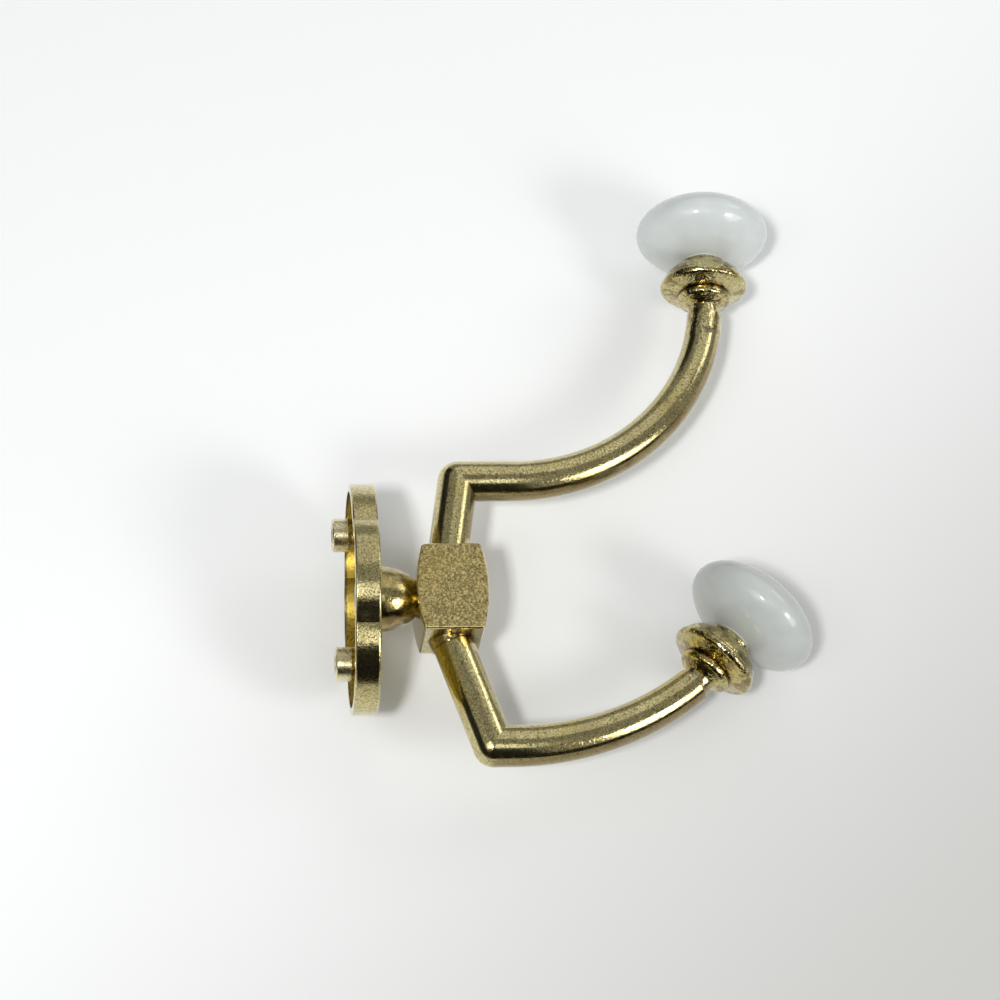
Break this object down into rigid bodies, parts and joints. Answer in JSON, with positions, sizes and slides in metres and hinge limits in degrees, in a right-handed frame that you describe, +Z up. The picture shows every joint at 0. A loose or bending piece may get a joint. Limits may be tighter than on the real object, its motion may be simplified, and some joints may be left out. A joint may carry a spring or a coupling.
{
  "type": "double robe hook",
  "caption": "Wall-mounted double robe hook: lobed wall plate, short neck, hub block, tall upper and short lower arm, each arm ending in a turned collar with a porcelain knob.",
  "frame": {"origin": "in the plane of the wall, midway between the two posts behind the plate", "axes": "+X points straight out of the wall, +Z points up towards the longer arm, +Y completes the frame and points across the plate"},
  "size_m": [0.0976, 0.0398, 0.1284],
  "materials": {
    "brass_plating": "thin brass plating over a rough casting, finely speckled, dull on the hub and brighter on the arms",
    "porcelain": "smooth glossy white glaze with a faint blue cast",
    "steel": "plain zinc-plated steel"
  },
  "bodies": {
    "root": {"backplate": "brass_plating", "hook_body": "brass_plating", "center_screw": "steel", "upper_knob": "porcelain", "lower_knob": "porcelain", "upper_stud": "steel", "lower_stud": "steel"}
  },
  "joints": []
}
